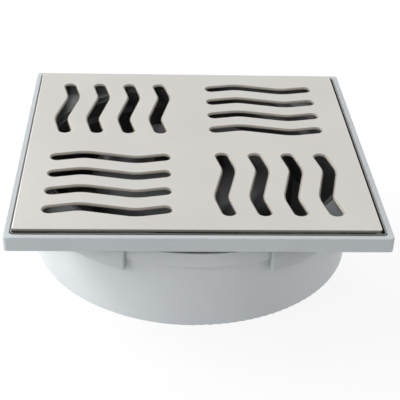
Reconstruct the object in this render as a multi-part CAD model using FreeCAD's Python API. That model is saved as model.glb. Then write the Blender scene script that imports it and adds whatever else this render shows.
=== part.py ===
import FreeCAD, Part
import math
import os

# A shower-room floor drain: a slotted steel plate lies in a square plastic frame, and the
# frame snaps over a round pot that holds a lift-out water trap above a pipe spigot.
# Millimetres, +Z up. The origin is the centre of the spigot's lower end, on the drain's axis.

# Square frame
frame_side = 150.0
frame_height = 6.3
frame_corner_r = 1.6
rim_width = 2.5
rim_edge_r = 0.5
rim_foot_r = 0.4
ledge_depth = 3.5
ledge_thickness = 2.0
opening_step = 2.7

# Skirt under the frame: four segments that snap over the pot's bead
skirt_inset = 1.7
skirt_wall = 1.6
skirt_below_bead = 4.4
skirt_end_r = 0.8
skirt_foot_r = 0.4
window_half_angle = 23.7
snap_reach = 0.3
snap_height = 2.8
gusset_thickness = 1.6
gusset_reach = 9.0
gusset_drop = 7.5
gusset_angles = (-14.0, 0.0, 14.0)

# Bosses and rubber pads in the frame's corners
boss_inset = 8.2
boss_r = 4.5
boss_height = 2.0
pad_r = 4.2
pad_peg_r = 1.5
pad_peg_length = 1.4
plate_proud = 0.2

# Steel liner: an L-shaped sheet ring on the ledge
liner_sheet = 0.5
liner_flange = 3.0
liner_bend_r = 0.4
liner_proud = 0.2
liner_clearance = 0.2

# Cover plate and its wave-shaped slots, four groups turned about the middle
plate_thickness = 1.4
plate_clearance = 0.6
plate_push = 0.6
plate_corner_r = 1.0
plate_edge_r = 0.4
slot_width = 4.9
slot_margin = 11.5
slot_middle_gap = 9.4
slot_side_inset = 7.7
slots_per_group = 4
pattern_shift_x = -0.8
pattern_shift_y = -1.0
slot_elbow = 11.1
slot_wave = 2.4
slot_elbow_r = 16.0

# Pot
pot_depth = 45.6
pot_wall = 2.4
pot_floor = 2.4
pot_edge_r = 0.8
bead_step = 1.0
bead_height = 6.6
bead_edge_r = 0.3
support_ribs = 8
support_rib_thickness = 2.0
spigot_r = 25.0
spigot_wall = 2.4
spigot_length = 32.6
spigot_chamfer = 2.0
spigot_collar = 1.2
foot_ribs = 8
foot_rib_reach = 12.0
foot_rib_drop = 5.6
foot_rib_thickness = 2.0

# Rubber ring between the frame's ledge and the pot's rim
ring_height = 4.2
ring_width = 1.8
ring_foot_width = 1.0
ring_foot_depth = 0.7
ring_valley = 0.6

# Trap cup, with its sealing ring and its standpipe
cup_wall = 1.8
cup_floor = 2.0
cup_drop = 5.4
cup_flange_height = 4.5
cup_flange_step = 2.1
cup_lead_in = 1.6
cup_rim_wall = 1.6
cup_rim_below_ledge = 1.2
cup_floor_gap = 1.3
cup_corner_r = 4.0
seal_r = 1.0
seal_sides = 12
pipe_gap = 0.6
pipe_wall = 2.0
pipe_stub = 14.0

# Trap bell over the standpipe
bell_r = 45.0
bell_wall = 1.8
bell_shoulder_r = 9.0
bell_crown_rise = 1.6
bell_drop = 0.7
bell_gap = 6.4
bell_headroom = 7.0
bell_ribs = 4
bell_rib_thickness = 1.8
bell_rib_reach = 10.0
bell_lug_length = 3.0
grip_length = 34.0
grip_width = 3.0
grip_height = 1.7

# Running and seating clearances
snap_clearance = 0.3
lift_clearance = 0.2
groove_clearance = 0.1
overlap = 0.6

# How near two values lie to count as the same place
same_place = 0.01

# Levels
z_pot_under = spigot_length
z_rim = z_pot_under + pot_depth
z_frame_under = z_rim - frame_height
z_ledge = z_rim - ledge_depth
z_ledge_under = z_ledge - ledge_thickness
z_plate_under = z_rim + plate_proud
z_pot_top = z_ledge_under - ring_height
z_bead_under = z_pot_top - bead_height
z_skirt_under = z_bead_under - skirt_below_bead
z_pot_floor = z_pot_under + pot_floor
z_collar_under = z_pot_under - foot_rib_drop
z_cup_seat = z_pot_top - cup_drop
z_cup_step = z_cup_seat + cup_flange_height
z_cup_top = z_ledge - cup_rim_below_ledge
z_cup_under = z_pot_floor + cup_floor_gap
z_cup_floor = z_cup_under + cup_floor
z_seal = (z_cup_seat + z_cup_step) / 2
z_bell_crown = z_ledge_under - bell_drop
z_bell_ceiling = z_bell_crown - bell_crown_rise - bell_wall
z_weir = z_bell_ceiling - bell_headroom
z_bell_under = z_cup_floor + bell_gap

# Radii, from the frame's edge inwards
skirt_out_r = frame_side / 2 - skirt_inset
skirt_in_r = skirt_out_r - skirt_wall
opening_r = skirt_in_r - opening_step
bead_r = skirt_in_r - snap_clearance
pot_r = bead_r - bead_step
pot_in_r = pot_r - pot_wall
ring_mid_r = (opening_r + pot_r) / 2
cup_flange_r = pot_in_r - lift_clearance
cup_out_r = cup_flange_r - cup_flange_step
cup_in_r = cup_out_r - cup_wall
cup_rim_in_r = cup_flange_r - cup_rim_wall
support_rib_in_r = cup_out_r + lift_clearance
seal_mid_r = pot_in_r - groove_clearance - seal_r
seal_groove_r = seal_mid_r - seal_r - groove_clearance
spigot_in_r = spigot_r - spigot_wall
collar_r = spigot_r + spigot_collar
pipe_r = spigot_in_r - pipe_gap
pipe_in_r = pipe_r - pipe_wall
bell_in_r = bell_r - bell_wall

# Squares, from the frame's edge inwards
pocket_side = frame_side - 2 * rim_width
pocket_corner_r = frame_corner_r
liner_side = pocket_side - 2 * liner_clearance
liner_corner_r = pocket_corner_r - liner_clearance
liner_in_side = liner_side - 2 * liner_sheet
liner_in_corner_r = liner_corner_r - liner_sheet
plate_side = liner_in_side - 2 * plate_clearance
boss_offset = plate_side / 2 - boss_inset

# One slot's length, and the spacing of the slots in a group
slot_length = plate_side / 2 - slot_margin - slot_middle_gap
slot_pitch = (slot_length - slot_side_inset) / (slots_per_group - 1)

Z_AXIS = FreeCAD.Vector(0, 0, 1)
ORIGIN = FreeCAD.Vector(0, 0, 0)


def is_upright(edge):
    """Whether an edge runs up and down."""
    return abs(edge.tangentAt(edge.FirstParameter).z) > 0.5


def axis_distance(edge):
    """How far an edge's start lies from the drain's axis."""
    start = edge.valueAt(edge.FirstParameter)
    return math.hypot(start.x, start.y)


def square_block(side, corner_r, z_low, z_high):
    """A square block on the axis, with rounded upright corners."""
    corner = FreeCAD.Vector(-side / 2, -side / 2, z_low)
    block = Part.makeBox(side, side, z_high - z_low, corner)
    return block.makeFillet(corner_r, [e for e in block.Edges if is_upright(e)])


def turned(profile):
    """A solid of revolution from a closed outline of (radius, height) points."""
    points = [FreeCAD.Vector(r, 0, z) for r, z in profile]
    outline = Part.makePolygon(points + points[:1])
    return Part.Face(outline).revolve(ORIGIN, Z_AXIS, 360)


def disc(r, z_low, z_high):
    """A round block on the axis."""
    return Part.makeCylinder(r, z_high - z_low, FreeCAD.Vector(0, 0, z_low))


def tube(r_out, r_in, z_low, z_high):
    """A round wall on the axis."""
    return disc(r_out, z_low, z_high).cut(disc(r_in, z_low, z_high))


def turned_about_axis(shape, angle):
    """A copy of the shape, turned about the drain's axis."""
    copy = shape.copy()
    copy.rotate(ORIGIN, Z_AXIS, angle)
    return copy


def around(shape, count, first=0.0):
    """Copies of the shape, spaced evenly about the axis."""
    return [turned_about_axis(shape, first + 360.0 * i / count) for i in range(count)]


def radial_web(corners, thickness):
    """An upright web in the XZ plane, centred on it, from (radius, height) corners."""
    points = [FreeCAD.Vector(r, -thickness / 2, z) for r, z in corners]
    outline = Part.makePolygon(points + points[:1])
    return Part.Face(outline).extrude(FreeCAD.Vector(0, thickness, 0))


def round_ring_edges(shape, radius, places):
    """Rounds the circular edges that lie at the given (radius, height) places."""
    chosen = []
    for edge in shape.Edges:
        if not isinstance(edge.Curve, Part.Circle):
            continue
        here = (edge.Curve.Radius, edge.Curve.Center.z)
        if any(math.dist(here, place) < same_place for place in places):
            chosen.append(edge)
    return shape.makeFillet(radius, chosen)


def level_edges(shape, z):
    """The edges that lie flat at one height."""
    low, high = z - same_place, z + same_place
    return [e for e in shape.Edges if e.BoundBox.ZMin > low and e.BoundBox.ZMax < high]


def corner_places(offset):
    """The four corner points at one distance from both middle lines, by name."""
    return {
        "front_left": (-offset, -offset),
        "front_right": (offset, -offset),
        "back_left": (-offset, offset),
        "back_right": (offset, offset),
    }


def rim_and_ledge():
    """The square rim, its ledge with the round opening, and the bosses for the pads."""
    block = square_block(frame_side, frame_corner_r, z_frame_under, z_rim)
    block = block.makeFillet(rim_foot_r, level_edges(block, z_frame_under))
    pocket = square_block(pocket_side, pocket_corner_r, z_ledge, z_rim)
    hollow = square_block(pocket_side, pocket_corner_r, z_frame_under, z_ledge_under)
    rim = block.cut(pocket).cut(hollow)
    rim = rim.makeFillet(rim_edge_r, level_edges(rim, z_rim))
    rim = rim.cut(disc(opening_r, z_frame_under, z_rim))
    for x, y in corner_places(boss_offset).values():
        foot = FreeCAD.Vector(x, y, z_ledge - ledge_thickness / 2)
        rim = rim.fuse(Part.makeCylinder(boss_r, boss_height + ledge_thickness / 2, foot))
    return rim


def skirt():
    """The snap skirt: a short wall with a lip inside, open in the middle of each side.

    The wall's upright ends and its lower edge are rounded on the outside.
    """
    wall = tube(skirt_out_r, skirt_in_r, z_skirt_under, z_ledge_under + ledge_thickness / 2)
    lip_top = z_bead_under - snap_clearance
    lip_r = bead_r - snap_reach
    lip = turned([
        (skirt_in_r + skirt_wall / 2, lip_top),
        (lip_r, lip_top),
        (lip_r, lip_top - snap_height / 3),
        (skirt_in_r, lip_top - snap_height),
        (skirt_in_r + skirt_wall / 2, lip_top - snap_height),
    ])
    reach = frame_side
    half_width = reach * math.tan(math.radians(window_half_angle))
    low = z_skirt_under - overlap
    points = [
        FreeCAD.Vector(0, 0, low),
        FreeCAD.Vector(reach, -half_width, low),
        FreeCAD.Vector(reach, half_width, low),
    ]
    outline = Part.makePolygon(points + points[:1])
    window = Part.Face(outline).extrude(FreeCAD.Vector(0, 0, z_frame_under - low))
    windows = around(window, 4)
    wall = wall.cut(windows)
    ends = [e for e in wall.Edges if is_upright(e) and abs(axis_distance(e) - skirt_out_r) < same_place]
    wall = wall.makeFillet(skirt_end_r, ends)
    places = [(skirt_out_r, z_skirt_under)]
    wall = round_ring_edges(wall, skirt_foot_r, places)
    return wall.fuse(lip.cut(windows))


def skirt_gussets():
    """Webs in the frame's corners that brace the skirt against the ledge's underside."""
    web = radial_web([
        (skirt_out_r - skirt_wall / 2, z_ledge_under + ledge_thickness / 2),
        (skirt_out_r + gusset_reach, z_ledge_under + ledge_thickness / 2),
        (skirt_out_r + gusset_reach, z_frame_under),
        (skirt_out_r - skirt_wall / 2, z_ledge_under - gusset_drop),
    ], gusset_thickness)
    return [g for angle in gusset_angles for g in around(web, 4, 45.0 + angle)]


def top_frame():
    """The whole frame moulding, with sockets for the pads' pegs."""
    body = rim_and_ledge().fuse([skirt()] + skirt_gussets())
    socket_z = z_ledge + boss_height - pad_peg_length - lift_clearance
    for x, y in corner_places(boss_offset).values():
        foot = FreeCAD.Vector(x, y, socket_z)
        socket = Part.makeCylinder(pad_peg_r + groove_clearance, ledge_depth, foot)
        body = body.cut(socket)
    return body.removeSplitter()


def plate_pad(x, y):
    """A rubber pad that carries a corner of the plate. Its peg sits in the boss."""
    z_boss = z_ledge + boss_height
    head = Part.makeCylinder(pad_r, z_plate_under - z_boss, FreeCAD.Vector(x, y, z_boss))
    peg_foot = FreeCAD.Vector(x, y, z_boss - pad_peg_length)
    peg = Part.makeCylinder(pad_peg_r, pad_peg_length, peg_foot)
    return head.fuse(peg).removeSplitter()


def steel_liner():
    """The sheet ring that edges the frame: an upstand with a flange on the ledge."""
    top = z_rim + liner_proud
    block = square_block(liner_side, liner_corner_r, z_ledge, top)
    block = block.makeFillet(liner_bend_r + liner_sheet, level_edges(block, z_ledge))
    inside = square_block(liner_in_side, liner_in_corner_r, z_ledge + liner_sheet, top)
    inside = inside.makeFillet(liner_bend_r, level_edges(inside, z_ledge + liner_sheet))
    hole = square_block(liner_side - 2 * liner_flange, liner_in_corner_r, z_ledge, top)
    return block.cut(inside).cut(hole)


def slot_cutter():
    """One wave-shaped slot along X: a crest on the left, a trough on the right."""
    rise = slot_wave / slot_elbow
    end_x = slot_length / 2 - slot_width / 2
    end_y = slot_wave - rise * (end_x - slot_elbow)
    knots = [
        FreeCAD.Vector(-end_x, end_y, 0),
        FreeCAD.Vector(-slot_elbow, slot_wave, 0),
        FreeCAD.Vector(slot_elbow, -slot_wave, 0),
        FreeCAD.Vector(end_x, -end_y, 0),
    ]
    edges = []
    start = knots[0]
    for before, knot, after in zip(knots, knots[1:], knots[2:]):
        back = (before - knot).normalize()
        ahead = (after - knot).normalize()
        half_turn = (math.pi - back.getAngle(ahead)) / 2
        tangent = slot_elbow_r * math.tan(half_turn)
        middle = (back + ahead).normalize()
        sagitta = slot_elbow_r * (1 / math.cos(half_turn) - 1)
        arc_start = knot + back * tangent
        arc_end = knot + ahead * tangent
        edges.append(Part.LineSegment(start, arc_start).toShape())
        edges.append(Part.Arc(arc_start, knot + middle * sagitta, arc_end).toShape())
        start = arc_end
    edges.append(Part.LineSegment(start, knots[-1]).toShape())
    outline = Part.Wire(edges).makeOffset2D(slot_width / 2)
    slot = Part.Face(outline).extrude(FreeCAD.Vector(0, 0, plate_thickness + 2 * overlap))
    slot.translate(FreeCAD.Vector(0, 0, z_plate_under - overlap))
    return slot


def cover_plate():
    """The loose steel plate. It lies pushed to the left in the liner."""
    plate = square_block(plate_side, plate_corner_r, z_plate_under, z_plate_under + plate_thickness)
    plate = plate.makeFillet(plate_edge_r, level_edges(plate, z_plate_under + plate_thickness))
    group_at = plate_side / 2 - slot_margin - slot_length / 2
    cutters = []
    for i in range(slots_per_group):
        slot = slot_cutter()
        row_y = group_at + (i - (slots_per_group - 1) / 2) * slot_pitch
        slot.translate(FreeCAD.Vector(group_at, row_y, 0))
        cutters += around(slot, 4)
    for slot in cutters:
        slot.translate(FreeCAD.Vector(pattern_shift_x, pattern_shift_y, 0))
    plate = plate.cut(cutters)
    plate.translate(FreeCAD.Vector(-plate_push, 0, 0))
    return plate


def frame_ring():
    """The rubber ring on the pot's rim: a foot in the rim's groove and two sealing lips."""
    inner = ring_mid_r - ring_width / 2
    outer = ring_mid_r + ring_width / 2
    lip = ring_width / 4
    return turned([
        (inner, z_pot_top),
        (inner, z_ledge_under),
        (inner + lip, z_ledge_under),
        (ring_mid_r, z_ledge_under - ring_valley),
        (outer - lip, z_ledge_under),
        (outer, z_ledge_under),
        (outer, z_pot_top),
        (ring_mid_r + ring_foot_width / 2, z_pot_top),
        (ring_mid_r + ring_foot_width / 2, z_pot_top - ring_foot_depth),
        (ring_mid_r - ring_foot_width / 2, z_pot_top - ring_foot_depth),
        (ring_mid_r - ring_foot_width / 2, z_pot_top),
    ])


def pot():
    """The round pot with its beaded rim, the ribs that carry the trap, and the spigot."""
    shell = turned([
        (spigot_in_r, 0),
        (spigot_r - spigot_chamfer / 2, 0),
        (spigot_r, spigot_chamfer),
        (spigot_r, z_collar_under),
        (collar_r, z_collar_under),
        (collar_r, z_pot_under),
        (pot_r, z_pot_under),
        (pot_r, z_bead_under),
        (bead_r, z_bead_under),
        (bead_r, z_pot_top),
        (pot_in_r, z_pot_top),
        (pot_in_r, z_pot_floor),
        (spigot_in_r, z_pot_floor),
    ])
    shell = round_ring_edges(shell, pot_edge_r, [(pot_r, z_pot_under)])
    shell = round_ring_edges(shell, bead_edge_r, [(bead_r, z_bead_under), (bead_r, z_pot_top)])
    groove_half = ring_foot_width / 2 + groove_clearance
    groove_floor = z_pot_top - ring_foot_depth - groove_clearance
    shell = shell.cut(tube(ring_mid_r + groove_half, ring_mid_r - groove_half, groove_floor, z_pot_top))
    rib = radial_web([
        (support_rib_in_r, z_pot_floor - pot_floor / 2),
        (pot_in_r + pot_wall / 2, z_pot_floor - pot_floor / 2),
        (pot_in_r + pot_wall / 2, z_cup_seat),
        (support_rib_in_r, z_cup_seat),
    ], support_rib_thickness)
    foot = radial_web([
        (spigot_r - spigot_wall / 2, z_pot_under + pot_floor / 2),
        (spigot_r + foot_rib_reach, z_pot_under + pot_floor / 2),
        (spigot_r + foot_rib_reach, z_pot_under - foot_rib_thickness),
        (collar_r, z_collar_under),
        (spigot_r - spigot_wall / 2, z_collar_under),
    ], foot_rib_thickness)
    ribs = around(rib, support_ribs) + around(foot, foot_ribs, 180.0 / foot_ribs)
    return shell.fuse(ribs).removeSplitter()


def trap_cup():
    """The lift-out cup: a grooved flange, a rim above it, and a standpipe into the spigot."""
    groove_half = seal_r + groove_clearance
    cup = turned([
        (pipe_in_r, z_cup_under - pipe_stub),
        (pipe_r, z_cup_under - pipe_stub),
        (pipe_r, z_cup_under),
        (cup_out_r, z_cup_under),
        (cup_out_r, z_cup_seat),
        (cup_flange_r, z_cup_seat),
        (cup_flange_r, z_seal - groove_half),
        (seal_groove_r, z_seal - groove_half),
        (seal_groove_r, z_seal + groove_half),
        (cup_flange_r, z_seal + groove_half),
        (cup_flange_r, z_cup_top),
        (cup_rim_in_r, z_cup_top),
        (cup_rim_in_r, z_cup_step),
        (cup_in_r, z_cup_step - cup_lead_in),
        (cup_in_r, z_cup_floor),
        (pipe_r, z_cup_floor),
        (pipe_r, z_weir),
        (pipe_in_r, z_weir),
    ])
    cup = round_ring_edges(cup, cup_corner_r, [(cup_out_r, z_cup_under)])
    return round_ring_edges(cup, cup_corner_r - cup_wall, [(cup_in_r, z_cup_floor)])


def trap_seal():
    """The sealing ring in the cup's flange, of nearly round section."""
    angles = [2 * math.pi * i / seal_sides for i in range(seal_sides)]
    return turned([(seal_mid_r + seal_r * math.cos(a), z_seal + seal_r * math.sin(a)) for a in angles])


def dome(r, z_low, z_shoulder, shoulder_r, rise):
    """A closed bell-shaped body: an upright side, a round shoulder and a shallow conical crown."""
    flat_r = r - shoulder_r
    side_top = FreeCAD.Vector(r, 0, z_shoulder - shoulder_r)
    bend = math.sqrt(0.5) * shoulder_r
    shoulder_mid = FreeCAD.Vector(flat_r + bend, 0, z_shoulder - shoulder_r + bend)
    crown_edge = FreeCAD.Vector(flat_r, 0, z_shoulder)
    crown_top = FreeCAD.Vector(0, 0, z_shoulder + rise)
    foot_mid = FreeCAD.Vector(0, 0, z_low)
    foot_edge = FreeCAD.Vector(r, 0, z_low)
    outline = Part.Wire([
        Part.LineSegment(foot_mid, foot_edge).toShape(),
        Part.LineSegment(foot_edge, side_top).toShape(),
        Part.Arc(side_top, shoulder_mid, crown_edge).toShape(),
        Part.LineSegment(crown_edge, crown_top).toShape(),
        Part.LineSegment(crown_top, foot_mid).toShape(),
    ])
    return Part.Face(outline).revolve(ORIGIN, Z_AXIS, 360)


def trap_bell():
    """The bell that dips into the cup's water. Its ribs stand on the standpipe."""
    outside = dome(bell_r, z_bell_under, z_bell_ceiling + bell_wall, bell_shoulder_r, bell_crown_rise)
    inside_r = bell_shoulder_r - bell_wall
    inside = dome(bell_in_r, z_bell_under - overlap, z_bell_ceiling, inside_r, bell_crown_rise)
    lug_r = pipe_in_r - lift_clearance
    rib = radial_web([
        (lug_r - bell_lug_length, z_weir - bell_lug_length),
        (lug_r, z_weir - bell_lug_length),
        (lug_r, z_weir),
        (pipe_r + bell_rib_reach, z_weir),
        (pipe_r + bell_rib_reach, z_bell_ceiling + bell_wall / 2),
        (lug_r - bell_lug_length, z_bell_ceiling + bell_wall / 2),
    ], bell_rib_thickness)
    grip_foot = FreeCAD.Vector(-grip_length / 2, -grip_width / 2, z_bell_ceiling + bell_wall)
    grip = Part.makeBox(grip_length, grip_width, bell_crown_rise + grip_height, grip_foot)
    shell = outside.fuse([grip, turned_about_axis(grip, 90)])
    return shell.cut(inside).fuse(around(rib, bell_ribs, 45.0)).removeSplitter()


parts = {
    "cover_plate": cover_plate(),
    "steel_liner": steel_liner(),
    "top_frame": top_frame(),
    "frame_ring": frame_ring(),
    "pot": pot(),
    "trap_cup": trap_cup(),
    "trap_seal": trap_seal(),
    "trap_bell": trap_bell(),
}
for corner, place in corner_places(boss_offset).items():
    parts["plate_pad_" + corner] = plate_pad(*place)

os.makedirs("parts", exist_ok=True)
for name, shape in parts.items():
    shape.exportStep("parts/" + name + ".step")
    print(name, len(shape.Solids), shape.isValid(), round(shape.Volume))
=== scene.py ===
import math

import bpy
from bpy.props import FloatProperty, FloatVectorProperty, IntProperty, PointerProperty
from mathutils import Matrix, Vector


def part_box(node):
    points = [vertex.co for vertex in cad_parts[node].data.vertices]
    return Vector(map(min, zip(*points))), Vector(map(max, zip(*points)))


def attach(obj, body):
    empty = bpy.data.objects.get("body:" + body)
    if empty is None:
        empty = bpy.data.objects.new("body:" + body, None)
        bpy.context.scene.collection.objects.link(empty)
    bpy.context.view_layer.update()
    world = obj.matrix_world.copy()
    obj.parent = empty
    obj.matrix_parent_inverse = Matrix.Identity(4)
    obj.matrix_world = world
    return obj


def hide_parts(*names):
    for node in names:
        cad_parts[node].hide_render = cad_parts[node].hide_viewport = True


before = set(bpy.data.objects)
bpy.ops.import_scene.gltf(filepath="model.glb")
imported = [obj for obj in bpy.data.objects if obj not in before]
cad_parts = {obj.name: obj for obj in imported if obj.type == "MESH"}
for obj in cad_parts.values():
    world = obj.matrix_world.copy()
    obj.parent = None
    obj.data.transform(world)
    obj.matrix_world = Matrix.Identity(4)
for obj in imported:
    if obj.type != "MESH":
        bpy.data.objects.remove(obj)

bl_info = {
    "name": "Square floor drain",
    "version": (1, 0, 0),
    "blender": (4, 5, 0),
    "location": "3D View > Sidebar > Drain",
    "description": "Finishes and fine parts of a slotted shower-room floor drain",
    "category": "Add Mesh",
}

MM = 0.001
COLOUR = {"size": 3, "subtype": "COLOR", "min": 0.0, "max": 1.0}  # what all colour settings share

# Places taken from the solids
PLATE_LOW, PLATE_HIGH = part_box("cover_plate")
LINER_LOW, LINER_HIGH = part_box("steel_liner")
RIM_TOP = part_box("top_frame")[1].z

# How finely the plate and the liner are made
FLAT_BAND = 0.3 * MM  # flat strip beside a rolled edge, so that the plate's large faces shade flat
OUTLINE_SPACING = 0.5 * MM  # between the points of a slot's outline
WELD = 0.002 * MM  # points nearer than this become one
FAR_OFF = 1.0  # a height that no point of the plate or the liner reaches
NEARLY_HALF = 0.4999  # the radius of a slot's ends against its width, short of a half so that they fit
ROLL_STEPS = 6
CORNER_STEPS = 8
SLOT_END_STEPS = 12
ELBOW_STEPS = 10
SHEET_EDGE_STEPS = 5
SHARP_FOLD = math.radians(32.0)  # faces that meet at more than this keep a sharp edge

# Finishes and painted shade
CUT_AND_SHADE_UPWARD = 0.985  # a slot's wall takes the cut colour where its normal's upward part is less: cut metal below the rounded edge, painted shade on the rounded edge
SHEARED_AND_SHADE_UPWARD = 0.5  # and the plate's outer edge takes the sheared colour where it is less: sheared metal, darkened further as painted shade
SHADE_INSET = 0.1 * MM  # the ledge's painted shade ends this far inside the liner's outer face
SHADE_DROP = 1.0 * MM  # and this far under the plate
NOISE_LOW, NOISE_HIGH = 0.3, 0.7  # most of a noise's values lie between these

# Light and floor
WORLD_LEVEL = 0.24  # of the world's light on the object
FLOOR_LIT, FLOOR_SEEN = 0.62, 0.95  # the floor's tone as it lights the object, and as it is seen
FLOOR_GLOW = 0.88  # share of the seen floor that is plain white and takes no shadow
SENSOR = 36.0  # the camera's sensor, in millimetres


# Sizes and colours


class PlateSizes(bpy.types.PropertyGroup):
    """Sizes of the slotted cover plate."""

    corner_radius: FloatProperty(
        name="Corner radius", description="Upright corners of the plate", default=1.0 * MM, unit="LENGTH")
    edge_roll: FloatProperty(
        name="Edge roll", description="Rounding of the plate's upper outer edge",
        default=0.3 * MM, unit="LENGTH")
    slot_roll: FloatProperty(
        name="Slot roll", description="How far from a slot the punch has drawn the upper face down",
        default=1.0 * MM, unit="LENGTH")
    slot_roll_depth: FloatProperty(
        name="Slot roll depth", description="How far down the drawn-in edge reaches",
        default=1.0 * MM, unit="LENGTH")
    slot_flare: FloatProperty(
        name="Slot flare", description="How much wider a slot opens on the underside, on each side",
        default=1.0 * MM, unit="LENGTH")
    slot_width: FloatProperty(
        name="Slot width", description="Width of a slot", default=4.9 * MM, unit="LENGTH")
    slot_margin: FloatProperty(
        name="Slot margin", description="From the plate's edge to the outer end of a slot",
        default=11.5 * MM, unit="LENGTH")
    middle_gap: FloatProperty(
        name="Middle gap", description="From the pattern's middle to the inner end of a slot",
        default=9.4 * MM, unit="LENGTH")
    side_inset: FloatProperty(
        name="Side inset", description="How much narrower a group's slot spacing is than a slot's length",
        default=7.7 * MM, unit="LENGTH")
    slots_per_group: IntProperty(
        name="Slots per group", description="Slots beside each other in one group", default=4)
    elbow: FloatProperty(
        name="Elbow distance", description="From a slot's middle to each of its two bends",
        default=11.1 * MM, unit="LENGTH")
    wave: FloatProperty(
        name="Wave height", description="How far the bends leave the slot's middle line",
        default=2.4 * MM, unit="LENGTH")
    elbow_radius: FloatProperty(
        name="Elbow radius", description="Radius of the slot's middle line in a bend",
        default=16.0 * MM, unit="LENGTH")
    pattern_shift: FloatVectorProperty(
        name="Pattern shift", description="From the plate's middle to the pattern's middle",
        size=2, default=(-0.8 * MM, -1.0 * MM), unit="LENGTH")


class LinerSizes(bpy.types.PropertyGroup):
    """Sizes of the folded sheet ring round the plate."""

    sheet: FloatProperty(
        name="Sheet", description="Thickness of the sheet", default=0.5 * MM, unit="LENGTH")
    flange: FloatProperty(
        name="Flange", description="Width of the flange on the ledge", default=3.0 * MM, unit="LENGTH")
    corner_radius: FloatProperty(
        name="Corner radius", description="Outer radius of the ring's corners",
        default=1.4 * MM, unit="LENGTH")
    bend_radius: FloatProperty(
        name="Bend radius", description="Inner radius of the fold", default=0.4 * MM, unit="LENGTH")
    edge_radius: FloatProperty(
        name="Edge radius", description="Rounding of the sheet's cut edges",
        default=0.1 * MM, unit="LENGTH")


class Finishes(bpy.types.PropertyGroup):
    """Colours of the drain's materials, some of them painted shade."""

    steel: FloatVectorProperty(
        name="Steel", description="Colour of the brushed steel",
        default=(0.62, 0.605, 0.575), **COLOUR)
    # The cut colour is cut metal on the slots' walls and painted shade on their drawn-in rounded edges
    cut_edge: FloatVectorProperty(
        name="Cut edge", description="Colour of the steel where the slots are cut",
        default=(0.29, 0.265, 0.23), **COLOUR)
    # The sheared colour is sheared metal, darkened further as painted shade on the plate's outer edge
    sheared_edge: FloatVectorProperty(
        name="Sheared edge", description="Colour of the plate's outer edge",
        default=(0.28, 0.265, 0.24), **COLOUR)
    # The liner's dark colour is painted shade, for the shade in the narrow gap round the plate
    liner: FloatVectorProperty(
        name="Liner", description="Colour of the sheet ring round the plate",
        default=(0.27, 0.262, 0.245), **COLOUR)
    frame_plastic: FloatVectorProperty(
        name="Frame plastic", description="Colour of the frame",
        default=(0.415, 0.44, 0.455), **COLOUR)
    # Painted shade: how dark the ledge under the plate is painted, as a share of the frame's colour
    ledge_tone: FloatProperty(
        name="Ledge tone", description="Tone of the frame's ledge under the plate, against the rim",
        default=0.45, min=0.0, max=1.0)
    pot_plastic: FloatVectorProperty(
        name="Pot plastic", description="Colour of the pot",
        default=(0.465, 0.49, 0.505), **COLOUR)
    black_plastic: FloatVectorProperty(
        name="Black plastic", description="Colour of the trap's cup and bell",
        default=(0.06, 0.062, 0.066), **COLOUR)
    ring: FloatVectorProperty(
        name="Ring", description="Colour of the ring between the frame and the pot",
        default=(0.09, 0.088, 0.085), **COLOUR)
    rubber: FloatVectorProperty(
        name="Rubber", description="Colour of the rings and pads",
        default=(0.035, 0.035, 0.036), **COLOUR)


class StageSettings(bpy.types.PropertyGroup):
    """The camera that took the photo."""

    lens: FloatProperty(
        name="Lens", description="Focal length on a 36 mm sensor", default=94.8 * MM, unit="CAMERA")
    camera_place: FloatVectorProperty(
        name="Camera place", description="From the middle of the rim's top", size=3,
        default=(-0.0210, -0.4097, 0.2193), subtype="TRANSLATION", unit="LENGTH")
    yaw: FloatProperty(
        name="Yaw", description="Turn of the view to the right", default=math.radians(3.46),
        subtype="ANGLE", unit="ROTATION")
    pitch: FloatProperty(
        name="Pitch", description="Tilt of the view downwards", default=math.radians(31.10),
        subtype="ANGLE", unit="ROTATION")
    roll: FloatProperty(
        name="Roll", description="Turn of the picture about the view", default=math.radians(2.13),
        subtype="ANGLE", unit="ROTATION")


# Node helpers


def node(tree, kind, inputs=None, **settings):
    """Adds a node, with its settings and its input values or links."""
    made = tree.nodes.new(kind)
    for name, value in settings.items():
        setattr(made, name, value)
    for name, value in (inputs or {}).items():
        if isinstance(value, bpy.types.NodeSocket):
            tree.links.new(value, made.inputs[name])
        else:
            made.inputs[name].default_value = value
    return made


def maths(tree, operation, *values, clamp=False):
    """A maths node's output."""
    inputs = dict(enumerate(values))
    return node(tree, "ShaderNodeMath", inputs, operation=operation, use_clamp=clamp).outputs[0]


def vector_maths(tree, operation, *values):
    """A vector maths node's vector output."""
    inputs = dict(enumerate(values))
    return node(tree, "ShaderNodeVectorMath", inputs, operation=operation).outputs["Vector"]


# Materials


def new_material(name):
    """A material with only a Principled shader, and its node tree and shader."""
    material = bpy.data.materials.new(name)
    material.use_nodes = True
    tree = material.node_tree
    tree.nodes.clear()
    shader = node(tree, "ShaderNodeBsdfPrincipled")
    output = node(tree, "ShaderNodeOutputMaterial")
    tree.links.new(shader.outputs["BSDF"], output.inputs["Surface"])
    return material, tree, shader


def object_noise(tree, scale, detail=3.0, roughness=0.5):
    """Noise on object coordinates, with its scale in cycles per metre along X, Y and Z."""
    place = node(tree, "ShaderNodeTexCoord").outputs["Object"]
    mapped = node(tree, "ShaderNodeMapping", {"Vector": place, "Scale": scale}).outputs["Vector"]
    inputs = {"Vector": mapped, "Scale": 1.0, "Detail": detail, "Roughness": roughness}
    return node(tree, "ShaderNodeTexNoise", inputs).outputs["Fac"]


def spread(tree, value, low, high):
    """A noise value spread between two numbers."""
    inputs = {"Value": value, "From Min": NOISE_LOW, "From Max": NOISE_HIGH, "To Min": low, "To Max": high}
    return node(tree, "ShaderNodeMapRange", inputs).outputs["Result"]


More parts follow.
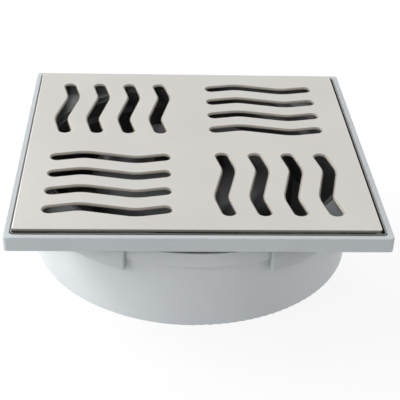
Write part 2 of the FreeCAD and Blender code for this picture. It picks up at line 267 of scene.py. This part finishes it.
def tones(tree, value, colour, dark, light):
    """The colour, darker and lighter by two factors along a noise value."""
    ramp = node(tree, "ShaderNodeValToRGB", {"Fac": value})
    low, high = ramp.color_ramp.elements
    low.position, high.position = NOISE_LOW, NOISE_HIGH
    low.color = [c * dark for c in colour] + [1.0]
    high.color = [min(1.0, c * light) for c in colour] + [1.0]
    return ramp.outputs["Color"]


def brushed_steel(name, colour):
    """Steel brushed along X."""
    material, tree, shader = new_material(name)
    along, across = 70.0, 5200.0
    grain = object_noise(tree, (along, across, across), detail=2.0, roughness=0.6)
    cloud = object_noise(tree, (28.0, 28.0, 28.0))
    bump = node(tree, "ShaderNodeBump", {"Height": grain, "Strength": 0.12, "Distance": 0.02 * MM})
    tree.links.new(tones(tree, cloud, colour, dark=0.97, light=1.02), shader.inputs["Base Color"])
    tree.links.new(spread(tree, grain, low=0.30, high=0.38), shader.inputs["Roughness"])
    tree.links.new(bump.outputs["Normal"], shader.inputs["Normal"])
    shader.inputs["Metallic"].default_value = 1.0
    return material


def cut_metal(name, colour, metallic, rough_low, rough_high):
    """Bare metal left by a punch or a shear: dull, with fine upright streaks."""
    material, tree, shader = new_material(name)
    streaks = object_noise(tree, (3500.0, 3500.0, 300.0), detail=2.0)
    bump = node(tree, "ShaderNodeBump", {"Height": streaks, "Strength": 0.15, "Distance": 0.03 * MM})
    tree.links.new(tones(tree, streaks, colour, dark=0.92, light=1.08), shader.inputs["Base Color"])
    tree.links.new(spread(tree, streaks, rough_low, rough_high), shader.inputs["Roughness"])
    tree.links.new(bump.outputs["Normal"], shader.inputs["Normal"])
    shader.inputs["Metallic"].default_value = metallic
    return material


def moulded_plastic(name, colour, rough_low, rough_high, ripple):
    """Moulded plastic: nearly even colour, a soft ripple and a fine grain."""
    material, tree, shader = new_material(name)
    cloud = object_noise(tree, (35.0, 35.0, 35.0))
    waves = object_noise(tree, (220.0, 220.0, 220.0), detail=1.0)
    grain = object_noise(tree, (4500.0, 4500.0, 4500.0))
    soft = node(tree, "ShaderNodeBump", {"Height": waves, "Strength": ripple, "Distance": 0.3 * MM})
    inputs = {"Height": grain, "Strength": 0.08, "Distance": 0.02 * MM, "Normal": soft.outputs["Normal"]}
    fine = node(tree, "ShaderNodeBump", inputs)
    tree.links.new(tones(tree, cloud, colour, dark=0.97, light=1.03), shader.inputs["Base Color"])
    tree.links.new(spread(tree, cloud, rough_low, rough_high), shader.inputs["Roughness"])
    tree.links.new(fine.outputs["Normal"], shader.inputs["Normal"])
    return material


def darken_ledge(material, tone):
    """Paints shade on the frame's ledge, inside the liner and under the plate: there its colour is darkened
    to a share of itself.
    """
    tree = material.node_tree
    shader = tree.nodes["Principled BSDF"]
    place = node(tree, "ShaderNodeTexCoord").outputs["Object"]
    here = node(tree, "ShaderNodeSeparateXYZ", {0: place}).outputs
    aside = maths(tree, "MAXIMUM", maths(tree, "ABSOLUTE", here["X"]), maths(tree, "ABSOLUTE", here["Y"]))
    inside = maths(tree, "LESS_THAN", aside, LINER_HIGH.x - SHADE_INSET)
    ledge_top = LINER_LOW.z
    # The band reaches as far below the ledge's top as above it, which leaves the skirt out
    near = maths(tree, "COMPARE", here["Z"], ledge_top, PLATE_LOW.z - ledge_top - SHADE_DROP)
    under = maths(tree, "MULTIPLY", inside, near)
    # Painted shade: the frame's colour is scaled down where the mask is one
    inputs = {"Value": under, "To Min": 1.0, "To Max": tone}
    factor = node(tree, "ShaderNodeMapRange", inputs).outputs["Result"]
    colour = shader.inputs["Base Color"].links[0].from_socket
    inputs = {0: colour, "Scale": factor}
    shaded = node(tree, "ShaderNodeVectorMath", inputs, operation="SCALE").outputs["Vector"]
    tree.links.new(shaded, shader.inputs["Base Color"])
    return material


def soft_rubber(name, colour):
    """Dull black rubber with a fine speckle."""
    material, tree, shader = new_material(name)
    speckle = object_noise(tree, (2600.0, 2600.0, 2600.0))
    bump = node(tree, "ShaderNodeBump", {"Height": speckle, "Strength": 0.25, "Distance": 0.05 * MM})
    tree.links.new(tones(tree, speckle, colour, dark=0.8, light=1.5), shader.inputs["Base Color"])
    tree.links.new(spread(tree, speckle, low=0.55, high=0.75), shader.inputs["Roughness"])
    tree.links.new(bump.outputs["Normal"], shader.inputs["Normal"])
    shader.inputs["Specular IOR Level"].default_value = 0.35
    return material


def dress(name, material):
    """Gives a CAD node its material."""
    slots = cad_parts[name].data.materials
    slots.clear()
    slots.append(material)


# Geometry trees


def new_tree(name, sizes):
    """An empty geometry tree with one named input for each size, and those inputs."""
    tree = bpy.data.node_groups.new(name, "GeometryNodeTree")
    tree.interface.new_socket("Geometry", in_out="OUTPUT", socket_type="NodeSocketGeometry")
    for label, value in sizes.items():
        kind = "NodeSocketInt" if isinstance(value, int) else "NodeSocketFloat"
        tree.interface.new_socket(label, in_out="INPUT", socket_type=kind).default_value = value
    return tree, node(tree, "NodeGroupInput").outputs


def grown(name, tree, sizes):
    """An object whose plain mesh is what the tree makes at these sizes."""
    carrier = bpy.data.objects.new(name, bpy.data.meshes.new(name))
    bpy.context.scene.collection.objects.link(carrier)
    modifier = carrier.modifiers.new(name, "NODES")
    modifier.node_group = tree
    for item in tree.interface.items_tree:
        if item.in_out == "INPUT":
            modifier[item.identifier] = sizes[item.name]
    depsgraph = bpy.context.evaluated_depsgraph_get()
    result = bpy.data.meshes.new_from_object(carrier.evaluated_get(depsgraph))
    result.name = name
    for i, material in reversed(list(enumerate(result.materials))):
        if material is None:
            result.materials.pop(index=i)
    carrier.modifiers.clear()
    carrier.data = result
    return carrier


def vector(tree, x=0.0, y=0.0, z=0.0):
    """A vector field from three values or links."""
    return node(tree, "ShaderNodeCombineXYZ", {"X": x, "Y": y, "Z": z}).outputs[0]


def by_index(tree, kind, choices):
    """A field that takes the choice at each point's index."""
    index = node(tree, "GeometryNodeInputIndex").outputs[0]
    switch = node(tree, "GeometryNodeIndexSwitch", {"Index": index}, data_type=kind)
    for _ in choices[2:]:
        switch.index_switch_items.new()
    for i, choice in enumerate(choices):
        socket = switch.inputs[str(i)]
        if isinstance(choice, bpy.types.NodeSocket):
            tree.links.new(choice, socket)
        else:
            socket.default_value = choice
    return switch.outputs[0]


def moved(tree, geometry, place):
    """The geometry with its points at the given places."""
    return node(tree, "GeometryNodeSetPosition", {"Geometry": geometry, "Position": place}).outputs[0]


def shifted(tree, geometry, offset):
    """The geometry moved by an offset."""
    return node(tree, "GeometryNodeSetPosition", {"Geometry": geometry, "Offset": offset}).outputs[0]


def welded(tree, geometry):
    """The geometry with its near points joined, which closes its seams."""
    inputs = {"Geometry": geometry, "Distance": WELD}
    return node(tree, "GeometryNodeMergeByDistance", inputs).outputs[0]


def stored(tree, geometry, name, value, kind, domain):
    """The geometry with a named attribute."""
    inputs = {"Geometry": geometry, "Name": name, "Value": value}
    settings = {"data_type": kind, "domain": domain}
    return node(tree, "GeometryNodeStoreNamedAttribute", inputs, **settings).outputs[0]


def recalled(tree, name, kind):
    """A field that reads the named attribute."""
    return node(tree, "GeometryNodeInputNamedAttribute", {"Name": name}, data_type=kind).outputs[0]


def open_path(tree, corners):
    """A polyline through the corners."""
    line = node(tree, "GeometryNodeCurvePrimitiveLine").outputs[0]
    points = node(tree, "GeometryNodeResampleCurve", {"Curve": line, "Count": len(corners)}).outputs[0]
    return moved(tree, points, by_index(tree, "VECTOR", corners))


def rounded_box(tree, length, width, radius, steps):
    """A closed curve on the axis: a rectangle with rounded corners."""
    box = node(tree, "GeometryNodeCurvePrimitiveQuadrilateral", {"Width": length, "Height": width})
    inputs = {"Curve": box.outputs[0], "Radius": radius, "Count": steps, "Limit Radius": True}
    return node(tree, "GeometryNodeFilletCurve", inputs, mode="POLY").outputs[0]


def slot_middle_line(tree, size, length):
    """The wave that a slot follows: two bends with straight runs between and beyond them."""
    rise = maths(tree, "DIVIDE", size["Wave"], size["Elbow"])
    end_x = maths(tree, "MULTIPLY", maths(tree, "SUBTRACT", length, size["Slot width"]), 0.5)
    drop = maths(tree, "MULTIPLY", rise, maths(tree, "SUBTRACT", end_x, size["Elbow"]))
    end_y = maths(tree, "SUBTRACT", size["Wave"], drop)
    corners = [
        vector(tree, maths(tree, "MULTIPLY", end_x, -1.0), end_y),
        vector(tree, maths(tree, "MULTIPLY", size["Elbow"], -1.0), size["Wave"]),
        vector(tree, size["Elbow"], maths(tree, "MULTIPLY", size["Wave"], -1.0)),
        vector(tree, end_x, maths(tree, "MULTIPLY", end_y, -1.0)),
    ]
    inputs = {"Curve": open_path(tree, corners), "Radius": size["Elbow radius"], "Count": ELBOW_STEPS}
    return node(tree, "GeometryNodeFilletCurve", inputs, mode="POLY").outputs[0]


def slot_outline(tree, size, length):
    """A slot's closed outline: a straight slot bent along the wave."""
    path = slot_middle_line(tree, size, length)
    run = node(tree, "GeometryNodeCurveLength", {"Curve": path}).outputs[0]
    width = size["Slot width"]
    end_radius = maths(tree, "MULTIPLY", width, NEARLY_HALF)
    straight = rounded_box(tree, maths(tree, "ADD", run, width), width, end_radius, SLOT_END_STEPS)
    inputs = {"Curve": straight, "Length": OUTLINE_SPACING}
    fine = node(tree, "GeometryNodeResampleCurve", inputs, mode="LENGTH").outputs[0]
    place = node(tree, "GeometryNodeInputPosition").outputs[0]
    here = node(tree, "ShaderNodeSeparateXYZ", {0: place}).outputs
    half_run = maths(tree, "MULTIPLY", run, 0.5)
    along = maths(tree, "ADD", here["X"], half_run)
    on_path = node(tree, "ShaderNodeClamp", {"Value": along, "Min": 0.0, "Max": run}).outputs[0]
    beyond = maths(tree, "SUBTRACT", along, on_path)
    inputs = {"Curves": path, "Length": on_path}
    sampled = node(tree, "GeometryNodeSampleCurve", inputs, mode="LENGTH").outputs
    sideways = vector_maths(tree, "CROSS_PRODUCT", (0.0, 0.0, 1.0), sampled["Tangent"])
    ahead = node(tree, "ShaderNodeVectorMath", {0: sampled["Tangent"], "Scale": beyond}, operation="SCALE")
    aside = node(tree, "ShaderNodeVectorMath", {0: sideways, "Scale": here["Y"]}, operation="SCALE")
    offset = vector_maths(tree, "ADD", ahead.outputs[0], aside.outputs[0])
    return moved(tree, fine, vector_maths(tree, "ADD", sampled["Position"], offset))


def rolled_wall(tree, rail, roll, roll_depth, depth, outward, flare=0.0):
    """A wall hung from a closed rail: a flat band, a rounded edge, then down to the depth with a flare."""
    line = node(tree, "GeometryNodeCurvePrimitiveLine").outputs[0]
    points = node(tree, "GeometryNodeResampleCurve", {"Curve": line, "Count": ROLL_STEPS + 3}).outputs[0]
    # Index -1 is the band's far side, 0 to ROLL_STEPS the rounded edge, and the last the wall's foot
    index = maths(tree, "SUBTRACT", node(tree, "GeometryNodeInputIndex").outputs[0], 1.0)
    steps = float(ROLL_STEPS)
    share = maths(tree, "DIVIDE", maths(tree, "MINIMUM", index, steps), steps, clamp=True)
    angle = maths(tree, "MULTIPLY", share, math.pi / 2)
    band = maths(tree, "MULTIPLY", maths(tree, "LESS_THAN", index, -0.5), FLAT_BAND)
    inset = maths(tree, "MULTIPLY", roll, maths(tree, "SUBTRACT", 1.0, maths(tree, "SINE", angle)))
    inset = maths(tree, "ADD", inset, band)
    drop = maths(tree, "MULTIPLY", roll_depth, maths(tree, "SUBTRACT", 1.0, maths(tree, "COSINE", angle)))
    last = maths(tree, "GREATER_THAN", index, steps)
    aside = node(tree, "ShaderNodeMix", {"Factor": last, "A": inset, "B": flare}).outputs[0]
    low = node(tree, "ShaderNodeMix", {"Factor": last, "A": drop, "B": depth}).outputs[0]
    profile = moved(tree, points, vector(tree, maths(tree, "MULTIPLY", aside, outward), low))
    level = node(tree, "GeometryNodeSetCurveNormal", {"Curve": rail}, mode="Z_UP").outputs[0]
    return node(tree, "GeometryNodeCurveToMesh", {"Curve": level, "Profile Curve": profile}).outputs[0]


def lid(tree, walls, low, high, level):
    """The flat face between the walls' open edges that lie between two heights."""
    place = node(tree, "GeometryNodeInputPosition").outputs[0]
    z = node(tree, "ShaderNodeSeparateXYZ", {0: place}).outputs["Z"]
    faces = node(tree, "GeometryNodeInputMeshEdgeNeighbors").outputs[0]
    # An open edge has one face, and a closed one has two
    edge_open = maths(tree, "LESS_THAN", faces, 1.5)
    above = maths(tree, "GREATER_THAN", z, low)
    below = maths(tree, "LESS_THAN", z, high)
    chosen = maths(tree, "MULTIPLY", edge_open, maths(tree, "MULTIPLY", above, below))
    loops = node(tree, "GeometryNodeMeshToCurve", {"Mesh": walls, "Selection": chosen}).outputs[0]
    face = node(tree, "GeometryNodeFillCurve", {"Curve": loops}, mode="TRIANGLES").outputs[0]
    return shifted(tree, face, vector(tree, z=level))


def finish_tree(tree, geometry, material, others=()):
    """Ends a tree: sharp folds, real geometry, its material and those of chosen faces."""
    angle = node(tree, "GeometryNodeInputMeshEdgeAngle").outputs[0]
    gentle = maths(tree, "LESS_THAN", angle, SHARP_FOLD)
    inputs = {"Geometry": geometry, "Shade Smooth": True}
    smooth = node(tree, "GeometryNodeSetShadeSmooth", inputs).outputs[0]
    inputs = {"Geometry": smooth, "Shade Smooth": gentle}
    creased = node(tree, "GeometryNodeSetShadeSmooth", inputs, domain="EDGE").outputs[0]
    real = node(tree, "GeometryNodeRealizeInstances", {"Geometry": creased}).outputs[0]
    coated = node(tree, "GeometryNodeSetMaterial", {"Geometry": real, "Material": material}).outputs[0]
    for chosen, other in others:
        inputs = {"Geometry": coated, "Selection": chosen, "Material": other}
        coated = node(tree, "GeometryNodeSetMaterial", inputs).outputs[0]
    node(tree, "NodeGroupOutput", {0: coated})


def slot_pattern(tree, size):
    """The walls of all the slots: one slot repeated in a row, and the row turned to each quarter."""
    half = maths(tree, "MULTIPLY", size["Side"], 0.5)
    length = maths(tree, "SUBTRACT", maths(tree, "SUBTRACT", half, size["Slot margin"]), size["Middle gap"])
    rows = maths(tree, "SUBTRACT", size["Slots per group"], 1.0)
    pitch = maths(tree, "DIVIDE", maths(tree, "SUBTRACT", length, size["Side inset"]), rows)
    group = maths(tree, "ADD", size["Middle gap"], maths(tree, "MULTIPLY", length, 0.5))
    half_span = maths(tree, "MULTIPLY", maths(tree, "MULTIPLY", rows, pitch), 0.5)
    first_row = maths(tree, "SUBTRACT", group, half_span)
    slot = rolled_wall(tree, slot_outline(tree, size, length), size["Slot roll"], size["Slot roll depth"],
                       size["Thickness"], 1.0, size["Slot flare"])
    slot = node(tree, "GeometryNodeFlipFaces", {"Mesh": slot}).outputs[0]
    inputs = {"Count": size["Slots per group"], "Start Location": vector(tree, group, first_row),
              "Offset": vector(tree, y=pitch)}
    row = node(tree, "GeometryNodeMeshLine", inputs).outputs[0]
    slots = node(tree, "GeometryNodeInstanceOnPoints", {"Points": row, "Instance": slot}).outputs[0]
    quarters = node(tree, "GeometryNodeMeshLine", {"Count": 4, "Offset": (0.0, 0.0, 0.0)}).outputs[0]
    index = node(tree, "GeometryNodeInputIndex").outputs[0]
    turn = vector(tree, z=maths(tree, "MULTIPLY", index, math.pi / 2))
    inputs = {"Points": quarters, "Instance": slots, "Rotation": turn}
    pattern = node(tree, "GeometryNodeInstanceOnPoints", inputs).outputs[0]
    whole = node(tree, "GeometryNodeRealizeInstances", {"Geometry": pattern}).outputs[0]
    return shifted(tree, whole, vector(tree, size["Shift X"], size["Shift Y"]))


def slotted_plate_tree(sizes, steel, cut_steel_and_shade, sheared_steel_and_shade):
    """The cover plate: the slots' walls, the outer edge, and the flat faces between them."""
    tree, size = new_tree("slotted_plate", sizes)
    slots = slot_pattern(tree, size)
    outline = rounded_box(tree, size["Side"], size["Side"], size["Corner radius"], CORNER_STEPS)
    rim = rolled_wall(tree, outline, size["Edge roll"], size["Edge roll"], size["Thickness"], -1.0)
    walls = node(tree, "GeometryNodeJoinGeometry", {0: stored(tree, slots, "cut", True, "BOOLEAN", "FACE")})
    tree.links.new(stored(tree, rim, "sheared", True, "BOOLEAN", "FACE"), walls.inputs[0])
    middle = maths(tree, "MULTIPLY", size["Thickness"], -0.5)
    bottom = maths(tree, "MULTIPLY", size["Thickness"], -1.0)
    top = lid(tree, walls.outputs[0], middle, FAR_OFF, 0.0)
    under = lid(tree, walls.outputs[0], -FAR_OFF, middle, bottom)
    under = node(tree, "GeometryNodeFlipFaces", {"Mesh": under}).outputs[0]
    joined = node(tree, "GeometryNodeJoinGeometry", {0: walls.outputs[0]})
    tree.links.new(top, joined.inputs[0])
    tree.links.new(under, joined.inputs[0])
    closed = welded(tree, joined.outputs[0])
    placed = shifted(tree, closed, vector(tree, size["Place X"], 0.0, size["Top"]))
    normal = node(tree, "GeometryNodeInputNormal").outputs[0]
    upward = node(tree, "ShaderNodeSeparateXYZ", {0: normal}).outputs["Z"]
    finishes = []
    # Faces tilted from upright take the darker cut and sheared colours: cut and sheared metal on the walls,
    # painted shade on the slots' rounded edges and in the outer wall's extra darkness
    for name, limit, metal in (("cut", CUT_AND_SHADE_UPWARD, cut_steel_and_shade), ("sheared", SHEARED_AND_SHADE_UPWARD, sheared_steel_and_shade)):
        steep = maths(tree, "LESS_THAN", upward, limit)
        finishes.append((maths(tree, "MULTIPLY", recalled(tree, name, "BOOLEAN"), steep), metal))
    finish_tree(tree, placed, steel, finishes)
    return tree


def folded_ring_tree(sizes, steel):
    """The liner: an L-shaped sheet section, drawn downwards, carried round a rounded square."""
    tree, size = new_tree("folded_ring", sizes)
    inner_face = maths(tree, "MULTIPLY", size["Sheet"], -1.0)
    reach = maths(tree, "MULTIPLY", size["Flange"], -1.0)
    flange_top = maths(tree, "SUBTRACT", size["Height"], size["Sheet"])
    corners = [
        vector(tree, 0.0, 0.0),
        vector(tree, 0.0, size["Height"]),
        vector(tree, reach, size["Height"]),
        vector(tree, reach, flange_top),
        vector(tree, inner_face, flange_top),
        vector(tree, inner_face, 0.0),
    ]
    ring = node(tree, "GeometryNodeCurvePrimitiveCircle", {"Resolution": len(corners)}).outputs[0]
    section = moved(tree, ring, by_index(tree, "VECTOR", corners))
    edge = size["Edge radius"]
    fold = maths(tree, "ADD", size["Bend radius"], size["Sheet"])
    radii = by_index(tree, "FLOAT", [edge, fold, edge, edge, size["Bend radius"], edge])
    inputs = {"Curve": section, "Radius": radii, "Count": SHEET_EDGE_STEPS, "Limit Radius": True}
    section = node(tree, "GeometryNodeFilletCurve", inputs, mode="POLY").outputs[0]
    place = node(tree, "GeometryNodeInputPosition").outputs[0]
    inset = node(tree, "ShaderNodeSeparateXYZ", {0: place}).outputs["X"]
    section = stored(tree, section, "inset", inset, "FLOAT", "POINT")
    rail = rounded_box(tree, size["Side"], size["Side"], size["Corner radius"], CORNER_STEPS)
    level = node(tree, "GeometryNodeSetCurveNormal", {"Curve": rail}, mode="Z_UP").outputs[0]
    swept = node(tree, "GeometryNodeCurveToMesh", {"Curve": level, "Profile Curve": section}).outputs[0]
    half = maths(tree, "MULTIPLY", size["Side"], 0.5)
    limit = maths(tree, "ADD", half, recalled(tree, "inset", "FLOAT"))
    limits = vector(tree, limit, limit, FAR_OFF)
    capped = vector_maths(tree, "MINIMUM", place, limits)
    floor = vector_maths(tree, "MULTIPLY", limits, (-1.0, -1.0, -1.0))
    capped = vector_maths(tree, "MAXIMUM", capped, floor)
    closed = welded(tree, moved(tree, swept, capped))
    finish_tree(tree, shifted(tree, closed, vector(tree, z=size["Top"])), steel)
    return tree


# Stage


class DRAIN_OT_stage(bpy.types.Operator):
    """Adds the pale floor, the studio lamps and the camera"""

    bl_idname = "drain.stage"
    bl_label = "Stage"

    def execute(self, context):
        settings = context.scene.drain_stage
        scene = context.scene
        scene.view_settings.view_transform = "Standard"
        pale_world(scene)
        pale_floor(scene)
        studio_lamps(scene)
        photo_camera(scene, settings)
        return {"FINISHED"}


def seen_directly(tree):
    """1 for what the camera, a mirror or glass sees, 0 for what lights the object."""
    path = node(tree, "ShaderNodeLightPath").outputs
    mirror = maths(tree, "ADD", path["Is Camera Ray"], path["Is Glossy Ray"], clamp=True)
    return maths(tree, "ADD", mirror, path["Is Transmission Ray"], clamp=True)


def pale_world(scene):
    """White where it is seen, and a plain soft light on the object."""
    world = bpy.data.worlds.new("studio")
    world.use_nodes = True
    tree = world.node_tree
    tree.nodes.clear()
    inputs = {"Value": seen_directly(tree), "To Min": WORLD_LEVEL, "To Max": 1.0}
    level = node(tree, "ShaderNodeMapRange", inputs)
    inputs = {"Color": (1.0, 1.0, 1.0, 1.0), "Strength": level.outputs["Result"]}
    light = node(tree, "ShaderNodeBackground", inputs)
    node(tree, "ShaderNodeOutputWorld", {"Surface": light.outputs[0]})
    scene.world = world


def pale_floor(scene):
    """A large pale floor that keeps the drain's shadow."""
    material = bpy.data.materials.new("pale_floor")
    material.use_nodes = True
    tree = material.node_tree
    tree.nodes.clear()
    inputs = {"Value": seen_directly(tree), "To Min": FLOOR_LIT, "To Max": FLOOR_SEEN}
    tone = node(tree, "ShaderNodeMapRange", inputs)
    paint = node(tree, "ShaderNodeBsdfDiffuse", {"Color": tone.outputs["Result"]})
    glow = node(tree, "ShaderNodeEmission", {"Color": (1.0, 1.0, 1.0, 1.0), "Strength": 1.0})
    share = maths(tree, "MULTIPLY", seen_directly(tree), FLOOR_GLOW)
    mixed = node(tree, "ShaderNodeMixShader", {0: share, 1: paint.outputs[0], 2: glow.outputs[0]})
    node(tree, "ShaderNodeOutputMaterial", {"Surface": mixed.outputs[0]})
    half = 3.0
    corners = [(-half, -half, 0), (half, -half, 0), (half, half, 0), (-half, half, 0)]
    mesh = bpy.data.meshes.new("floor")
    mesh.from_pydata(corners, [], [(0, 1, 2, 3)])
    mesh.materials.append(material)
    floor = bpy.data.objects.new("floor", mesh)
    scene.collection.objects.link(floor)


def soft_lamp(scene, name, place, size, power, mirrored):
    """A square soft lamp aimed at the drain, which shiny surfaces mirror or not."""
    light = bpy.data.lights.new(name, "AREA")
    light.shape = "SQUARE"
    light.size = size
    light.energy = power
    lamp = bpy.data.objects.new(name, light)
    aim = Vector((0, 0, RIM_TOP / 2)) - Vector(place)
    lamp.matrix_world = Matrix.Translation(place) @ aim.to_track_quat("-Z", "Y").to_matrix().to_4x4()
    lamp.visible_glossy = mirrored
    scene.collection.objects.link(lamp)


def studio_lamps(scene):
    """Broad lamps on the left, behind and above, a weak one on the right, and a small one in front."""
    # Only the back lamp is mirrored, because the others would whiten the plate as seen from other sides
    soft_lamp(scene, "left_lamp", place=(-1.1, -0.2, 0.6), size=0.9, power=18.5, mirrored=False)
    soft_lamp(scene, "back_lamp", place=(-0.9, 1.1, 1.0), size=0.6, power=9.0, mirrored=True)
    soft_lamp(scene, "top_lamp", place=(-0.6, 0.4, 1.2), size=0.9, power=7.0, mirrored=False)
    soft_lamp(scene, "right_lamp", place=(1.2, -0.3, 0.5), size=0.6, power=5.2, mirrored=False)
    soft_lamp(scene, "front_lamp", place=(-0.35, -1.1, 0.8), size=0.2, power=3.6, mirrored=False)


def photo_camera(scene, settings):
    """The camera at the photo's place and angle."""
    yaw, pitch, roll = settings.yaw, settings.pitch, settings.roll
    ahead = Vector((math.sin(yaw) * math.cos(pitch), math.cos(yaw) * math.cos(pitch), -math.sin(pitch)))
    right = Vector((math.cos(yaw), -math.sin(yaw), 0))
    up = right.cross(ahead)
    turned_right = math.cos(roll) * right + math.sin(roll) * up
    turned_up = math.cos(roll) * up - math.sin(roll) * right
    turn = Matrix((turned_right, turned_up, -ahead)).transposed()
    data = bpy.data.cameras.new("camera")
    data.sensor_width = SENSOR
    data.lens = settings.lens / MM
    camera = bpy.data.objects.new("camera", data)
    place = Vector(settings.camera_place) + Vector((0, 0, RIM_TOP))
    camera.matrix_world = Matrix.Translation(place) @ turn.to_4x4()
    scene.collection.objects.link(camera)
    scene.camera = camera


# Plastic and rubber pieces


class DRAIN_OT_frame(bpy.types.Operator):
    """Finishes the square plastic frame and its rubber pads"""

    bl_idname = "drain.frame"
    bl_label = "Frame and pads"

    def execute(self, context):
        finishes = context.scene.drain_finishes
        plastic = moulded_plastic(
            "frame_plastic", finishes.frame_plastic, rough_low=0.34, rough_high=0.42, ripple=0.05)
        # The ledge under the plate gets painted shade: a darker copy of the frame's colour
        dress("top_frame", darken_ledge(plastic, finishes.ledge_tone))
        rubber = soft_rubber("pad_rubber", finishes.rubber)
        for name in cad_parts:
            if name.startswith("plate_pad_"):
                dress(name, rubber)
        return {"FINISHED"}


class DRAIN_OT_pot(bpy.types.Operator):
    """Finishes the pot and the rubber ring on its rim"""

    bl_idname = "drain.pot"
    bl_label = "Pot and ring"

    def execute(self, context):
        finishes = context.scene.drain_finishes
        plastic = moulded_plastic(
            "pot_plastic", finishes.pot_plastic, rough_low=0.34, rough_high=0.42, ripple=0.05)
        dress("pot", plastic)
        dress("frame_ring", soft_rubber("ring_rubber", finishes.ring))
        return {"FINISHED"}


class DRAIN_OT_trap(bpy.types.Operator):
    """Finishes the water trap: its cup, bell and seal"""

    bl_idname = "drain.trap"
    bl_label = "Water trap"

    def execute(self, context):
        finishes = context.scene.drain_finishes
        dull = moulded_plastic(
            "cup_plastic", finishes.black_plastic, rough_low=0.50, rough_high=0.60, ripple=0.08)
        glossier = moulded_plastic(
            "bell_plastic", finishes.black_plastic, rough_low=0.40, rough_high=0.50, ripple=0.08)
        dress("trap_cup", dull)
        dress("trap_bell", glossier)
        dress("trap_seal", soft_rubber("seal_rubber", finishes.rubber))
        return {"FINISHED"}


# Plate and liner


def plate_tree_sizes(plate):
    """The plate tree's inputs, by name."""
    return {
        "Side": PLATE_HIGH.x - PLATE_LOW.x,
        "Thickness": PLATE_HIGH.z - PLATE_LOW.z,
        "Top": PLATE_HIGH.z,
        "Place X": (PLATE_LOW.x + PLATE_HIGH.x) / 2,
        "Corner radius": plate.corner_radius,
        "Edge roll": plate.edge_roll,
        "Slot roll": plate.slot_roll,
        "Slot roll depth": plate.slot_roll_depth,
        "Slot flare": plate.slot_flare,
        "Slot width": plate.slot_width,
        "Slot margin": plate.slot_margin,
        "Middle gap": plate.middle_gap,
        "Side inset": plate.side_inset,
        "Slots per group": plate.slots_per_group,
        "Elbow": plate.elbow,
        "Wave": plate.wave,
        "Elbow radius": plate.elbow_radius,
        "Shift X": plate.pattern_shift[0],
        "Shift Y": plate.pattern_shift[1],
    }


def liner_tree_sizes(liner):
    """The liner tree's inputs, by name."""
    return {
        "Side": LINER_HIGH.x - LINER_LOW.x,
        "Height": LINER_HIGH.z - LINER_LOW.z,
        "Top": LINER_HIGH.z,
        "Sheet": liner.sheet,
        "Flange": liner.flange,
        "Corner radius": liner.corner_radius,
        "Bend radius": liner.bend_radius,
        "Edge radius": liner.edge_radius,
    }


class DRAIN_OT_steel(bpy.types.Operator):
    """Makes the slotted cover plate and the folded liner round it"""

    bl_idname = "drain.steel"
    bl_label = "Plate and liner"

    def execute(self, context):
        finishes = context.scene.drain_finishes
        steel = brushed_steel("plate_steel", finishes.steel)
        # The cut and sheared colours are partly bare metal and partly painted shade
        cut_steel_and_shade = cut_metal(
            "cut_steel_and_shade", finishes.cut_edge, metallic=0.9, rough_low=0.46, rough_high=0.56)
        sheared_steel_and_shade = cut_metal(
            "sheared_steel_and_shade", finishes.sheared_edge, metallic=1.0, rough_low=0.40, rough_high=0.50)
        sizes = plate_tree_sizes(context.scene.drain_plate)
        plate = grown("slotted_plate", slotted_plate_tree(sizes, steel, cut_steel_and_shade, sheared_steel_and_shade), sizes)
        sizes = liner_tree_sizes(context.scene.drain_liner)
        # The liner's steel is darkened: painted shade in the gap round the plate
        shaded_liner_steel = brushed_steel("shaded_liner_steel", finishes.liner)
        liner = grown("folded_liner", folded_ring_tree(sizes, shaded_liner_steel), sizes)
        for made, stands_for in ((plate, "cover_plate"), (liner, "steel_liner")):
            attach(made, "frame_body")
            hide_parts(stands_for)
        return {"FINISHED"}


# Add-on


STEPS = (DRAIN_OT_stage, DRAIN_OT_frame, DRAIN_OT_pot, DRAIN_OT_trap, DRAIN_OT_steel)
GROUPS = {
    "drain_plate": PlateSizes,
    "drain_liner": LinerSizes,
    "drain_finishes": Finishes,
    "drain_stage": StageSettings,
}


class DRAIN_PT_panel(bpy.types.Panel):
    """Lists the drain's steps"""

    bl_label = "Floor drain"
    bl_idname = "DRAIN_PT_panel"
    bl_space_type = "VIEW_3D"
    bl_region_type = "UI"
    bl_category = "Drain"

    def draw(self, context):
        for step in STEPS:
            self.layout.operator(step.bl_idname)


def register():
    for group in GROUPS.values():
        bpy.utils.register_class(group)
    for name, group in GROUPS.items():
        setattr(bpy.types.Scene, name, PointerProperty(type=group))
    for step in STEPS:
        bpy.utils.register_class(step)
    bpy.utils.register_class(DRAIN_PT_panel)


def unregister():
    bpy.utils.unregister_class(DRAIN_PT_panel)
    for step in reversed(STEPS):
        bpy.utils.unregister_class(step)
    for name, group in GROUPS.items():
        delattr(bpy.types.Scene, name)
        bpy.utils.unregister_class(group)


def main():
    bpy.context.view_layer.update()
    register()
    bpy.ops.drain.stage()
    bpy.ops.drain.frame()
    bpy.ops.drain.pot()
    bpy.ops.drain.trap()
    bpy.ops.drain.steel()


if __name__ == "__main__":
    main()
